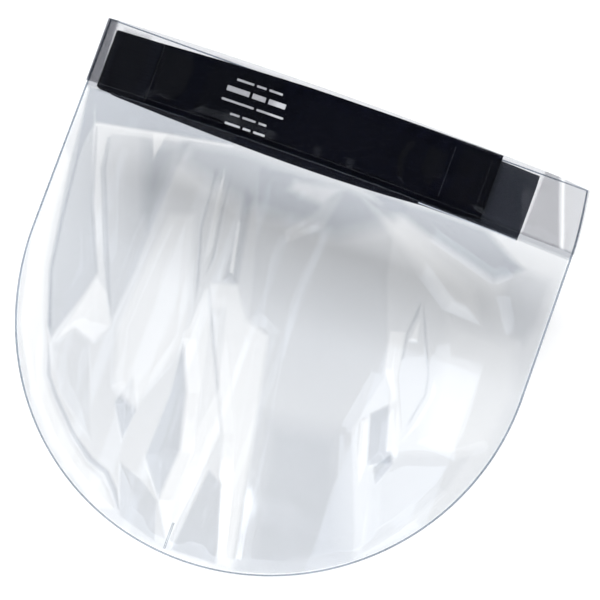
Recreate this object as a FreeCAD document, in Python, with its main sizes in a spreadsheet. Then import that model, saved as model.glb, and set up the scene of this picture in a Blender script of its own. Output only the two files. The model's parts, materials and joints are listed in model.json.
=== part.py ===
"""A disposable full-face shield: a bent clear visor, a foam brow pad, a peelable film and a webbing strap.

Frame: +X to the wearer's left, +Z up, the visor bulges towards -Y. The origin is the middle of the brow
pad's inner face, where the forehead rests. Millimetres.
"""

import FreeCAD, Part
import math
import os
import Sketcher

V = FreeCAD.Vector

SIZES = {
    # the visor: a flat U-shaped sheet bent round a vertical axis
    "bend_radius": 215,
    "visor_thickness": 0.5,
    "visor_top": 17,
    "visor_half_width": 131,
    "visor_top_half_width": 129.8,
    "visor_round_centre": -95,
    # the clear strip over the front of the brow band
    "cover_gap": 0.15,
    "cover_thickness": 0.2,
    "cover_half_width": 130.6,
    "cover_bottom": -16.5,
    # the protective film over the rest of the visor's front, and the slit that starts it peeling
    "film_gap": 0.3,
    "film_thickness": 0.15,
    "film_inset": 1.5,
    "film_top": -19,
    "slit_place": 9,
    "slit_width": 0.6,
    "slit_length": 14,
    "slit_block_front": -32,
    "slit_block_depth": 40,
    # the foam brow pad, bowed along its lower edge, its top falling away beyond a shoulder
    "tape_thickness": 1.6,
    "pad_thickness": 12,
    "pad_left": 118,
    "pad_right": 83,
    "pad_left_top": 12.3,
    "pad_shoulder": 20,
    "pad_shoulder_top": 15.3,
    "pad_right_top": 16.9,
    "pad_left_bottom": 19.5,
    "pad_right_bottom": 17,
    "pad_bottom_radius": 1000,
    "tape_left": 94,
    "tape_right": 52,
    "tape_height": 24,
    "tape_centre": -3,
    # the webbing: strap, its anchor at one end of the pad and the wider loop tab at the other
    "webbing_thickness": 1.6,
    "strap_top": 12.5,
    "strap_bottom": 18,
    "tab_top": 15,
    "tab_bottom": 19.5,
    "anchor_near": 97,
    "anchor_far": 124.4,
    "anchor_front": 26.7,
    "anchor_back": 42.3,
    "tab_near": 48,
    "tab_far": 102,
    "tab_gap": 0.2,
    # the strap lies straight behind the pad in three lengths, hinged where it folds and curls
    "strap_place": 44,
    "fold_place": 123.6,
    "strap_pitch": 67.8,
    "hinge_gap": 0.9,
    "hook_length": 30,
    "hook_height": 27,
    "hook_thickness": 1.2,
    "hook_from_end": 2.5,
    # sewing thread
    "thread": 0.45,
    "thread_sunk": 0.05,
    "stitch_length": 2.4,
    "stitch_pitch": 3.6,
    "tab_row_inset": 6,
    "tab_row_bottom": 5,
    "tab_row_top": 4,
    "hook_seam_inset": 2,
    # the blocks that trim a bent sheet to its outline, and the tubes that they trim
    "trim_depth": 160,
    "tube_height": 520,
    "tube_bottom": -390,
}

doc = FreeCAD.newDocument("face_shield")
sheet = doc.addObject("Spreadsheet::Sheet", "Sizes")
for row, (alias, value) in enumerate(SIZES.items(), start=1):
    sheet.set(f"A{row}", alias)
    sheet.set(f"B{row}", str(value))
    sheet.setAlias(f"B{row}", alias)
doc.recompute()

PAD_OUTER = "(Sizes.bend_radius - Sizes.visor_thickness - Sizes.tape_thickness)"
PAD_INNER = f"({PAD_OUTER} - Sizes.pad_thickness)"
BEND_AXIS = PAD_INNER  # the bend axis stands one pad-face radius behind the origin
STRAP_MIDDLE = "((Sizes.strap_top - Sizes.strap_bottom) / 2)"


def size(alias):
    """The sheet's value for one alias."""
    return float(sheet.get(alias))


def bind(thing, **expressions):
    """Binds properties to expressions; a name such as Placement_Base_y stands for Placement.Base.y."""
    for name, expression in expressions.items():
        thing.setExpression(name.replace("_", "."), str(expression))


def plane_of(body, role):
    """One of the body's own origin planes."""
    return next(feature for feature in body.Origin.OriginFeatures if feature.Role == role)


def new_sketch(body, name, role):
    sketch = body.newObject("Sketcher::SketchObject", name)
    sketch.AttachmentSupport = [(plane_of(body, role), "")]
    sketch.MapMode = "FlatFace"
    return sketch


def fix_point(sketch, geometry, end, across, up):
    """Ties one end of a sketch line to expressions for its two coordinates."""
    point = sketch.getPoint(geometry, end)
    for kind, value, expression in (("DistanceX", point.x, across), ("DistanceY", point.y, up)):
        index = sketch.addConstraint(Sketcher.Constraint(kind, -1, 1, geometry, end, value))
        sketch.setExpression(f"Constraints[{index}]", expression)


def expression_value(expression):
    """What an expression of sheet cells comes to, read through a spare cell of the sheet."""
    sheet.set("D1", "=" + expression.replace("Sizes.", ""))
    sheet.recompute()
    value = float(sheet.get("D1"))
    sheet.clear("D1")
    return value


def draw_corners(sketch, corners, bowed=None, radius=None):
    """A closed outline through corners given as expressions; side number bowed is an arc of that radius."""
    points = [V(expression_value(across), expression_value(up), 0) for across, up in corners]
    count = len(points)
    for side, start in enumerate(points):
        finish = points[(side + 1) % count]
        if side == bowed:
            chord = finish - start
            outward = V(chord.y, -chord.x, 0).normalize()
            reach = expression_value(radius)
            sag = reach - math.sqrt(reach**2 - (chord.Length / 2) ** 2)
            sketch.addGeometry(Part.Arc(start, start + chord / 2 + outward * sag, finish))
        else:
            sketch.addGeometry(Part.LineSegment(start, finish))
    for side, (across, up) in enumerate(corners):
        if side != bowed:
            fix_point(sketch, side, 1, across, up)
            finish = (side + 1) % count
            if finish == bowed:
                fix_point(sketch, side, 2, *corners[finish])
    for side in range(count):
        follower = (side + 1) % count
        ends = [2 if side != bowed else arc_end(sketch, side, points[follower])]
        ends.append(1 if follower != bowed else arc_end(sketch, follower, points[follower]))
        sketch.addConstraint(Sketcher.Constraint("Coincident", side, ends[0], follower, ends[1]))
    if bowed is not None:
        index = sketch.addConstraint(Sketcher.Constraint("Radius", bowed, expression_value(radius)))
        sketch.setExpression(f"Constraints[{index}]", radius)


def arc_end(sketch, geometry, point):
    """Which end of an arc, 1 or 2, lies on the point."""
    return min((1, 2), key=lambda end: (sketch.getPoint(geometry, end) - point).Length)


def draw_u(sketch, top, top_half_width, radius, centre):
    """The visor's outline: a straight top, nearly upright sides and a half-round bottom."""
    high, half = expression_value(top), expression_value(top_half_width)
    round_radius, low = expression_value(radius), expression_value(centre)
    sketch.addGeometry(Part.LineSegment(V(-half, high, 0), V(half, high, 0)))
    sketch.addGeometry(Part.LineSegment(V(half, high, 0), V(round_radius, low, 0)))
    circle = Part.Circle(V(0, low, 0), V(0, 0, 1), round_radius)
    sketch.addGeometry(Part.ArcOfCircle(circle, math.pi, 2 * math.pi))
    sketch.addGeometry(Part.LineSegment(V(-round_radius, low, 0), V(-half, high, 0)))
    sketch.addConstraint(
        [
            Sketcher.Constraint("Coincident", 0, 2, 1, 1),
            Sketcher.Constraint("Coincident", 3, 2, 0, 1),
            Sketcher.Constraint("Tangent", 1, 2, 2, 2),
            Sketcher.Constraint("Tangent", 2, 1, 3, 1),
            Sketcher.Constraint("PointOnObject", 2, 3, -2),
        ]
    )
    fix_point(sketch, 0, 1, f"-({top_half_width})", top)
    fix_point(sketch, 0, 2, top_half_width, top)
    for constraint, expression in (
        (Sketcher.Constraint("Radius", 2, round_radius), radius),
        (Sketcher.Constraint("DistanceY", -1, 1, 2, 3, low), centre),
    ):
        index = sketch.addConstraint(constraint)
        sketch.setExpression(f"Constraints[{index}]", expression)


def slab(name, draw, *outline, **options):
    """A body with its outline drawn facing the front, as deep as any bent piece."""
    body = doc.addObject("PartDesign::Body", name)
    sketch = new_sketch(body, name + "_outline", "XZ_Plane")
    draw(sketch, *outline, **options)
    pad = body.newObject("PartDesign::Pad", name + "_pad")
    pad.Profile = sketch
    pad.Midplane = True
    bind(pad, Length="Sizes.trim_depth")
    doc.recompute()
    return body


def shell(name, outer_radius, thickness):
    """A tall tube round the bend axis, as thick as a bent piece."""
    cylinders = []
    for side, radius in (("outer", outer_radius), ("inner", f"{outer_radius} - {thickness}")):
        cylinder = doc.addObject("Part::Cylinder", f"{name}_{side}")
        bind(cylinder, Radius=radius, Height="Sizes.tube_height")
        bind(cylinder, Placement_Base_y=BEND_AXIS, Placement_Base_z="Sizes.tube_bottom")
        cylinders.append(cylinder)
    cut = doc.addObject("Part::Cut", name + "_tube")
    cut.Base, cut.Tool = cylinders
    return cut


def bent(name, outer_radius, thickness, draw, *outline, **options):
    """A sheet bent round the visor's axis and trimmed to the outline that it shows from the front."""
    common = doc.addObject("Part::Common", name)
    common.Base = shell(name, outer_radius, thickness)
    common.Tool = slab(name + "_trim", draw, *outline, **options)
    doc.recompute()
    return common


def flat_plate(name, left, right, bottom, top, front, thickness):
    """An upright flat plate that faces the front; every argument is an expression."""
    body = doc.addObject("PartDesign::Body", name)
    sketch = new_sketch(body, name + "_outline", "XZ_Plane")
    draw_corners(sketch, [(left, bottom), (right, bottom), (right, top), (left, top)])
    pad = body.newObject("PartDesign::Pad", name + "_pad")
    pad.Profile = sketch
    pad.Reversed = True
    bind(pad, Length=thickness)
    bind(body, Placement_Base_y=front)
    doc.recompute()
    return body


def visor():
    """The clear sheet that covers the face."""
    return bent(
        "visor",
        "Sizes.bend_radius",
        "Sizes.visor_thickness",
        draw_u,
        "Sizes.visor_top",
        "Sizes.visor_top_half_width",
        "Sizes.visor_half_width",
        "Sizes.visor_round_centre",
    )


def cover_band():
    """The thin clear strip over the front of the brow band."""
    half, top, bottom = "Sizes.cover_half_width", "Sizes.visor_top", "Sizes.cover_bottom"
    return bent(
        "cover_band",
        "(Sizes.bend_radius + Sizes.cover_gap + Sizes.cover_thickness)",
        "Sizes.cover_thickness",
        draw_corners,
        [(f"-{half}", bottom), (half, bottom), (half, top), (f"-{half}", top)],
    )


def protective_film():
    """The peelable film, short of the visor's edge all round, with a short slit at the bottom."""
    whole = bent(
        "whole_film",
        "(Sizes.bend_radius + Sizes.film_gap + Sizes.film_thickness)",
        "Sizes.film_thickness",
        draw_u,
        "Sizes.film_top",
        "(Sizes.visor_top_half_width - Sizes.film_inset)",
        "(Sizes.visor_half_width - Sizes.film_inset)",
        "Sizes.visor_round_centre",
    )
    slit = doc.addObject("Part::Box", "film_slit")
    bind(slit, Length="Sizes.slit_width", Width="Sizes.slit_block_depth", Height="Sizes.slit_length")
    bind(slit, Placement_Base_x="-Sizes.slit_place", Placement_Base_y="Sizes.slit_block_front")
    bind(slit, Placement_Base_z="Sizes.visor_round_centre - Sizes.visor_half_width")
    cut = doc.addObject("Part::Cut", "protective_film")
    cut.Base, cut.Tool = whole, slit
    return cut


def brow_pad():
    """The foam pad, bent like the visor, with a bowed lower edge and a shoulder in its top."""
    corners = [
        ("-Sizes.pad_left", "-Sizes.pad_left_bottom"),
        ("Sizes.pad_right", "-Sizes.pad_right_bottom"),
        ("Sizes.pad_right", "Sizes.pad_right_top"),
        ("-Sizes.pad_shoulder", "Sizes.pad_shoulder_top"),
        ("-Sizes.pad_left", "Sizes.pad_left_top"),
    ]
    options = {"bowed": 0, "radius": "Sizes.pad_bottom_radius"}
    return bent("brow_pad", PAD_OUTER, "Sizes.pad_thickness", draw_corners, corners, **options)


def pad_tape():
    """The double-sided foam tape that holds the pad to the visor."""
    bottom, top = (f"(Sizes.tape_centre {sign} Sizes.tape_height / 2)" for sign in "-+")
    left, right = "-Sizes.tape_left", "Sizes.tape_right"
    corners = [(left, bottom), (right, bottom), (right, top), (left, top)]
    outer = "(Sizes.bend_radius - Sizes.visor_thickness)"
    return bent("pad_tape", outer, "Sizes.tape_thickness", draw_corners, corners)


def strap_anchor():
    """The strap's fixed end: held between visor and pad, then folded back round the end of the pad."""
    bottom, top = "-Sizes.strap_bottom", "Sizes.strap_top"
    near, far = "-Sizes.anchor_near", "-Sizes.anchor_far"
    corners = [(far, bottom), (near, bottom), (near, top), (far, top)]
    outer = "(Sizes.bend_radius - Sizes.visor_thickness)"
    held = bent("anchor_held", outer, "Sizes.webbing_thickness", draw_corners, corners)
    folded = flat_plate(
        "anchor_folded",
        far,
        f"({far} + Sizes.webbing_thickness)",
        bottom,
        top,
        "Sizes.anchor_front",
        "(Sizes.anchor_back - Sizes.anchor_front)",
    )
    fuse = doc.addObject("Part::Fuse", "strap_anchor")
    fuse.Base, fuse.Tool = held, folded
    fuse.Refine = True
    return fuse


def loop_tab():
    """The grey loop tab behind the pad's other end, which the strap's hooks catch on."""
    bottom, top = "-Sizes.tab_bottom", "Sizes.tab_top"
    near, far = "Sizes.tab_near", "Sizes.tab_far"
    corners = [(near, bottom), (far, bottom), (far, top), (near, top)]
    outer = f"({PAD_INNER} - Sizes.tab_gap)"
    return bent("loop_tab", outer, "Sizes.webbing_thickness", draw_corners, corners)


def strap_length(name, number):
    """One of the three straight lengths of the strap, counted from the fold."""
    start = f"(-Sizes.fold_place + {number} * Sizes.strap_pitch)"
    return flat_plate(
        name,
        f"({start} + Sizes.hinge_gap)",
        f"({start} + Sizes.strap_pitch - Sizes.hinge_gap)",
        "-Sizes.strap_bottom",
        "Sizes.strap_top",
        "(Sizes.strap_place - Sizes.webbing_thickness / 2)",
        "Sizes.webbing_thickness",
    )


STRAP_END = "(-Sizes.fold_place + 3 * Sizes.strap_pitch - Sizes.hinge_gap)"


def hook_patch():
    """The hook fabric on the front of the strap's free end."""
    right = f"({STRAP_END} - Sizes.hook_from_end)"
    return flat_plate(
        "hook_patch",
        f"({right} - Sizes.hook_length)",
        right,
        f"({STRAP_MIDDLE} - Sizes.hook_height / 2)",
        f"({STRAP_MIDDLE} + Sizes.hook_height / 2)",
        "(Sizes.strap_place - Sizes.webbing_thickness / 2 - Sizes.hook_thickness)",
        "Sizes.hook_thickness",
    )


def stitch(place, along, out):
    """One stitch of thread, as a short rod with rounded ends that lies on a surface whose normal is out."""
    radius, length = size("thread") / 2, size("stitch_length")
    middle = place + out * radius
    rod = Part.makeCylinder(radius, length, middle - along * (length / 2), along)
    ends = [Part.makeSphere(radius, middle + along * (length / 2 * sign)) for sign in (-1, 1)]
    return rod.fuse(ends).removeSplitter()


def stitch_group(name, stitches):
    """A group of separate stitches as one node."""
    group = doc.addObject("Part::Feature", name)
    group.Shape = Part.makeCompound(stitches)
    group.Placement = FreeCAD.Placement()
    return group


def steps(start, finish):
    """Evenly spaced places between two ends, about a stitch's pitch apart."""
    count = round(abs(finish - start) / size("stitch_pitch"))
    return [start + (finish - start) * number / count for number in range(count + 1)]


def tab_stitches():
    """Two upright rows of stitches that hold the loop tab, on the pad's front and on the tab's back."""
    inner = size("bend_radius") - size("visor_thickness") - size("tape_thickness") - size("pad_thickness")
    front, back = inner + size("pad_thickness"), inner - size("tab_gap") - size("webbing_thickness")
    inset, sunk = size("tab_row_inset"), size("thread_sunk")
    low, high = size("tab_row_bottom") - size("pad_right_bottom"), size("tab_top") - size("tab_row_top")
    made = []
    for reach in (size("tape_right") + inset, size("pad_right") - inset):
        for height in steps(low, high):
            for radius, sign in ((front + sunk, 1), (back - sunk, -1)):
                depth = math.sqrt(radius**2 - reach**2)
                out = V(reach, -depth, 0).normalize() * sign
                made.append(stitch(V(reach, inner - depth, height), V(0, 0, 1), out))
    return stitch_group("tab_stitches", made)


def hook_stitches():
    """A box of stitches round the hook patch, on the back of the strap's free end."""
    inset = size("hook_seam_inset")
    back = size("strap_place") + size("webbing_thickness") / 2 + size("thread_sunk")
    patch_end = -size("fold_place") + 3 * size("strap_pitch") - size("hinge_gap") - size("hook_from_end")
    left, right = patch_end - size("hook_length") + inset, patch_end - inset
    middle = (size("strap_top") - size("strap_bottom")) / 2
    half = size("hook_height") / 2 - inset
    pitch = size("stitch_pitch")
    made = []
    for side in (-1, 1):
        for across in steps(left + pitch, right - pitch):
            made.append(stitch(V(across, back, middle + side * half), V(1, 0, 0), V(0, 1, 0)))
    for across in (left, right):
        for height in steps(middle - half + pitch, middle + half - pitch):
            made.append(stitch(V(across, back, height), V(0, 0, 1), V(0, 1, 0)))
    return stitch_group("hook_stitches", made)


SUB_PARTS = [
    visor(),
    cover_band(),
    protective_film(),
    brow_pad(),
    pad_tape(),
    strap_anchor(),
    loop_tab(),
    strap_length("strap_side", 0),
    strap_length("strap_back", 1),
    strap_length("strap_tail", 2),
    hook_patch(),
    tab_stitches(),
    hook_stitches(),
]
doc.recompute()

for thing in doc.Objects:
    if "Invalid" in thing.State or "Error" in thing.State:
        raise RuntimeError(f"{thing.Label} failed: {thing.State}")

os.makedirs("parts", exist_ok=True)
for sub_part in SUB_PARTS:
    shape = sub_part.Shape
    if shape.isNull() or not shape.isValid():
        raise RuntimeError(f"{sub_part.Label} has no valid shape")
    shape.exportStep(f"parts/{sub_part.Label}.step")
    box = shape.BoundBox
    print(
        f"{sub_part.Label}: {len(shape.Solids)} solids, {shape.Volume:.1f} mm3,"
        f" x {box.XMin:.1f} {box.XMax:.1f}, y {box.YMin:.1f} {box.YMax:.1f}, z {box.ZMin:.1f} {box.ZMax:.1f}"
    )
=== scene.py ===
"""The looks of a disposable face shield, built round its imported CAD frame.

Metres, +Z up, the visor bulges towards -Y, +X to the wearer's left. The origin is the middle of the brow pad's
inner face. Sizes in MM are written as millimetres times that unit.
"""

import json
import math
import random

import bpy
from mathutils import Matrix, Vector, noise


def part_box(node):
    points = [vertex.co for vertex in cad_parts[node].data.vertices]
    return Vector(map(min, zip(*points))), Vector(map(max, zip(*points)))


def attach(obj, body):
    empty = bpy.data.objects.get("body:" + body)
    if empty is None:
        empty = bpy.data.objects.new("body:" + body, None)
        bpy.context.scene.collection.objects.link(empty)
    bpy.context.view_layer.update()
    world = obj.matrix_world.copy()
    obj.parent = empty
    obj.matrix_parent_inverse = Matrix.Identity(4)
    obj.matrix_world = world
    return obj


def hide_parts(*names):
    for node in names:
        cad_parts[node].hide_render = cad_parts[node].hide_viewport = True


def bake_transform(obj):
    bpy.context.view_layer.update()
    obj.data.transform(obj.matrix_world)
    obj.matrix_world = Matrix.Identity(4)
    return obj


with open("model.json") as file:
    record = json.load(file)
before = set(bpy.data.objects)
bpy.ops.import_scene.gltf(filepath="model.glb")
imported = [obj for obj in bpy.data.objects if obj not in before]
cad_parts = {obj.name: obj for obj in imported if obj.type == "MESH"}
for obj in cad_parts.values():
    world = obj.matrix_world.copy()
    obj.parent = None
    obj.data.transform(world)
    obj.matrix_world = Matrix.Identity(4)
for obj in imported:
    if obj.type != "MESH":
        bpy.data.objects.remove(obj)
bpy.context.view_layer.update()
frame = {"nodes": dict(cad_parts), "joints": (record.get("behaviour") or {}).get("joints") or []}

MM = 0.001

# ---- places read from the frame ----
VISOR_LOW, VISOR_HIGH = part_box("visor")
COVER_LOW, COVER_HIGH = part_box("cover_band")
FILM_LOW, FILM_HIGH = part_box("protective_film")
PAD_LOW, PAD_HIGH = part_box("brow_pad")
TAB_LOW, TAB_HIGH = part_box("loop_tab")
SIDE_LOW, SIDE_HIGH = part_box("strap_side")
TAIL_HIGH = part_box("strap_tail")[1]
ANCHOR_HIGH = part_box("strap_anchor")[1]
HOOK_LOW, HOOK_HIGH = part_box("hook_patch")
HINGES = {joint["name"]: Vector(joint["pos_m"]) for joint in frame["joints"]}

# ---- sizes that the visor, film, strip, pad and strap share ----
BEND_RADIUS = 215 * MM
BEND_AXIS_Y = VISOR_LOW.y + BEND_RADIUS
VISOR_THICKNESS = 0.5 * MM
TAPE_THICKNESS = 1.6 * MM
PAD_THICKNESS = 12 * MM
PAD_FRONT = BEND_RADIUS - VISOR_THICKNESS - TAPE_THICKNESS
PAD_BACK = PAD_FRONT - PAD_THICKNESS
ROUND_CENTRE_Z = VISOR_LOW.z + VISOR_HIGH.x  # the middle of the outline's round bottom
TOP_HALF_WIDTH = 129.8 * MM
EDGE_WIDTH = 0.8 * MM  # how far the cut edge's painted grey outline reaches into the visor
WEBBING_THICKNESS = SIDE_HIGH.y - SIDE_LOW.y
STRAP_Y = (SIDE_LOW.y + SIDE_HIGH.y) / 2
WEBBING_HEIGHT = SIDE_HIGH.z - SIDE_LOW.z


# ---- small helpers ----
def clamp(value, low=0.0, high=1.0):
    return max(low, min(high, value))


def smooth(low, high, value):
    """0 below low, 1 above high, and an even turn between them."""
    share = clamp((value - low) / (high - low))
    return share * share * (3 - 2 * share)


# The sheet's free corner at the wearer's left curls in and back a little, most at the corner itself.
CURL_FROM, CURL_SPAN = 98 * MM, 32 * MM
CURL_LOW, CURL_RISE = -16 * MM, 33 * MM
CURL_IN, CURL_BACK = 3.6 * MM, 4.4 * MM


def on_bend(across, height, radius):
    """The point on a cylinder round the bend axis; across is measured at the visor's own radius."""
    angle = math.asin(clamp(across / BEND_RADIUS, -1, 1))
    reach = clamp((across - CURL_FROM) / CURL_SPAN) ** 2 * clamp((height - CURL_LOW) / CURL_RISE) ** 1.6
    return Vector((
        radius * math.sin(angle) - CURL_IN * reach,
        BEND_AXIS_Y - radius * math.cos(angle) + CURL_BACK * reach,
        height,
    ))


def new_piece(name, points, faces, body, materials, slots=None, shade_smooth=True, uvs=None):
    """A mesh piece that rides on a body, if one is named; slots gives each face's material, uvs each point's place."""
    mesh = bpy.data.meshes.new(name)
    mesh.from_pydata(points, [], faces)
    for material in materials:
        mesh.materials.append(material)
    if slots:
        mesh.polygons.foreach_set("material_index", slots)
    mesh.polygons.foreach_set("use_smooth", [shade_smooth] * len(mesh.polygons))
    if uvs:
        layer = mesh.uv_layers.new(name="along")
        for loop in mesh.loops:
            layer.data[loop.index].uv = uvs[loop.vertex_index]
    mesh.validate()
    mesh.update()
    piece = bpy.data.objects.new(name, mesh)
    bpy.context.scene.collection.objects.link(piece)
    if body:
        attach(piece, body)
    return piece


def grid_faces(rows, columns, offset=0, flip=False):
    faces = []
    for row in range(rows - 1):
        for column in range(columns - 1):
            corner = offset + row * columns + column
            face = (corner, corner + 1, corner + columns + 1, corner + columns)
            faces.append(face[::-1] if flip else face)
    return faces


def rim_loop(rows, columns):
    """The indices round a grid's edge, in order."""
    loop = list(range(columns))
    loop += [row * columns + columns - 1 for row in range(1, rows)]
    loop += [(rows - 1) * columns + column for column in range(columns - 2, -1, -1)]
    loop += [row * columns for row in range(rows - 2, 0, -1)]
    return loop


def sheet_solid(rows, columns, front, back):
    """Points, faces and rim flags of a closed sheet between two surfaces given as functions of row and column."""
    points = [front(row, column) for row in range(rows) for column in range(columns)]
    points += [back(row, column) for row in range(rows) for column in range(columns)]
    size = rows * columns
    faces = grid_faces(rows, columns) + grid_faces(rows, columns, size, flip=True)
    slots = [0] * len(faces)
    loop = rim_loop(rows, columns)
    for here, there in zip(loop, loop[1:] + loop[:1]):
        faces.append((here, here + size, there + size, there))
        slots.append(1)
    return points, faces, slots


# ---- materials ----
PLAIN_GREY = 0.24  # the attribute "painted_shading" of a sheet that lies flat, with no painted light or shade
GLOSS_TINT = (0.86, 0.92, 1.0, 1)
HAZE_TINT = (0.76, 0.82, 0.92, 1)


def new_material(name):
    material = bpy.data.materials.new(name)
    material.use_nodes = True
    nodes = material.node_tree.nodes
    nodes.clear()
    output = nodes.new("ShaderNodeOutputMaterial")
    return material, nodes, material.node_tree.links, output


def texture(nodes, links, kind, scale, coordinates="Object", **settings):
    """A procedural texture in the piece's own coordinates."""
    place = nodes.new("ShaderNodeTexCoord")
    node = nodes.new(kind)
    node.inputs["Scale"].default_value = scale
    for setting, value in settings.items():
        if setting in node.inputs:
            node.inputs[setting].default_value = value
        else:
            setattr(node, setting, value)
    links.new(place.outputs[coordinates], node.inputs["Vector"])
    return node


def spread(nodes, links, source, low, high, start=0.0, finish=1.0):
    """Maps a texture's value from start..finish to low..high."""
    node = nodes.new("ShaderNodeMapRange")
    node.inputs["From Min"].default_value = start
    node.inputs["From Max"].default_value = finish
    node.inputs["To Min"].default_value = low
    node.inputs["To Max"].default_value = high
    links.new(source, node.inputs["Value"])
    return node.outputs["Result"]


def bump(nodes, links, height, distance, strength=1.0, normal=None):
    node = nodes.new("ShaderNodeBump")
    node.inputs["Distance"].default_value = distance
    node.inputs["Strength"].default_value = strength
    links.new(height, node.inputs["Height"])
    if normal is not None:
        links.new(normal, node.inputs["Normal"])
    return node.outputs["Normal"]


def mirror_share(nodes, links, least):
    """How much a clear surface mirrors at each slant, the same from both of its sides (Schlick's formula)."""
    slant = nodes.new("ShaderNodeLayerWeight")
    slant.inputs["Blend"].default_value = 0.5
    steep = nodes.new("ShaderNodeMath")
    steep.operation = "POWER"
    steep.inputs[1].default_value = 5
    links.new(slant.outputs["Facing"], steep.inputs[0])
    share = nodes.new("ShaderNodeMath")
    share.operation = "MULTIPLY_ADD"
    share.inputs[1].default_value = 1 - least
    share.inputs[2].default_value = least
    links.new(steep.outputs[0], share.inputs[0])
    return share.outputs[0]


def clear_plastic(name, tint, haze, roughness, painted_shading=None, painted_sheen=0.0, mirror=0.04):
    """Clear sheet: light goes straight through, a little tinted, with a faint uneven haze and a clean gloss.

    painted_shading and painted_sheen are the tint and the extra haze where the mesh's attribute "painted_shading" is
    1:
    painted shade over what shows through, and a painted sheen over dark things behind. mirror is the share of light
    that it mirrors seen square on."""
    material, nodes, links, output = new_material(name)
    through = nodes.new("ShaderNodeBsdfTransparent")
    through.inputs["Color"].default_value = (*tint, 1)
    if painted_shading:
        share = nodes.new("ShaderNodeAttribute")
        share.attribute_name = "painted_shading"
        ramp = nodes.new("ShaderNodeValToRGB")
        ramp.color_ramp.elements[0].color = (*tint, 1)
        ramp.color_ramp.elements[1].color = (*painted_shading, 1)
        links.new(share.outputs["Fac"], ramp.inputs["Fac"])
        links.new(ramp.outputs["Color"], through.inputs["Color"])
    dull = nodes.new("ShaderNodeBsdfDiffuse")
    dull.inputs["Color"].default_value = HAZE_TINT
    gloss = nodes.new("ShaderNodeBsdfAnisotropic")
    gloss.inputs["Color"].default_value = GLOSS_TINT
    cloud = texture(nodes, links, "ShaderNodeTexNoise", 14, Detail=4.0, Roughness=0.6)
    dust = texture(nodes, links, "ShaderNodeTexNoise", 900, Detail=2.0)
    haze_share = spread(nodes, links, cloud.outputs["Fac"], haze * 0.4, haze * 1.6, 0.3, 0.7)
    speck = spread(nodes, links, dust.outputs["Fac"], 0.0, haze * 0.8, 0.6, 0.75)
    add = nodes.new("ShaderNodeMath")
    links.new(haze_share, add.inputs[0])
    links.new(speck, add.inputs[1])
    if painted_shading:
        clear = add
        add = nodes.new("ShaderNodeMath")
        links.new(clear.outputs[0], add.inputs[0])
        links.new(spread(nodes, links, share.outputs["Fac"], 0.0, painted_sheen, PLAIN_GREY + 0.05, 1.0), add.inputs[1])
    links.new(spread(nodes, links, cloud.outputs["Fac"], roughness * 0.6, roughness * 1.5, 0.3, 0.7),
              gloss.inputs["Roughness"])
    body = nodes.new("ShaderNodeMixShader")
    links.new(add.outputs[0], body.inputs["Fac"])
    links.new(through.outputs[0], body.inputs[1])
    links.new(dull.outputs[0], body.inputs[2])
    surface = nodes.new("ShaderNodeMixShader")
    links.new(mirror_share(nodes, links, mirror), surface.inputs["Fac"])
    links.new(body.outputs[0], surface.inputs[1])
    links.new(gloss.outputs[0], surface.inputs[2])
    links.new(surface.outputs[0], output.inputs["Surface"])
    return material


def principled(name, colour, roughness, **sockets):
    material, nodes, links, output = new_material(name)
    shader = nodes.new("ShaderNodeBsdfPrincipled")
    shader.inputs["Base Color"].default_value = (*colour, 1)
    shader.inputs["Roughness"].default_value = roughness
    for socket, value in sockets.items():
        shader.inputs[socket.replace("_", " ")].default_value = value
    links.new(shader.outputs[0], output.inputs["Surface"])
    return material, nodes, links, shader


def tone(nodes, links, shader, source, dark, light, start=0.0, finish=1.0):
    """Colours the shader between two tones by a texture's value."""
    ramp = nodes.new("ShaderNodeValToRGB")
    ramp.color_ramp.elements[0].position = start
    ramp.color_ramp.elements[0].color = (*dark, 1)
    ramp.color_ramp.elements[1].position = finish
    ramp.color_ramp.elements[1].color = (*light, 1)
    links.new(source, ramp.inputs["Fac"])
    links.new(ramp.outputs["Color"], shader.inputs["Base Color"])


def foam_material():
    """Black fine-celled foam."""
    material, nodes, links, shader = principled("foam", (0.01, 0.012, 0.018), 0.95, Specular_IOR_Level=0.03)
    cells = texture(nodes, links, "ShaderNodeTexVoronoi", 1300)
    grain = texture(nodes, links, "ShaderNodeTexNoise", 160, Detail=5.0)
    tone(nodes, links, shader, grain.outputs["Fac"], (0.0014, 0.0018, 0.005), (0.0045, 0.0055, 0.0125), 0.3, 0.7)
    first = bump(nodes, links, cells.outputs["Distance"], 0.25 * MM)
    links.new(bump(nodes, links, grain.outputs["Fac"], 0.4 * MM, normal=first), shader.inputs["Normal"])
    return material


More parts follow.
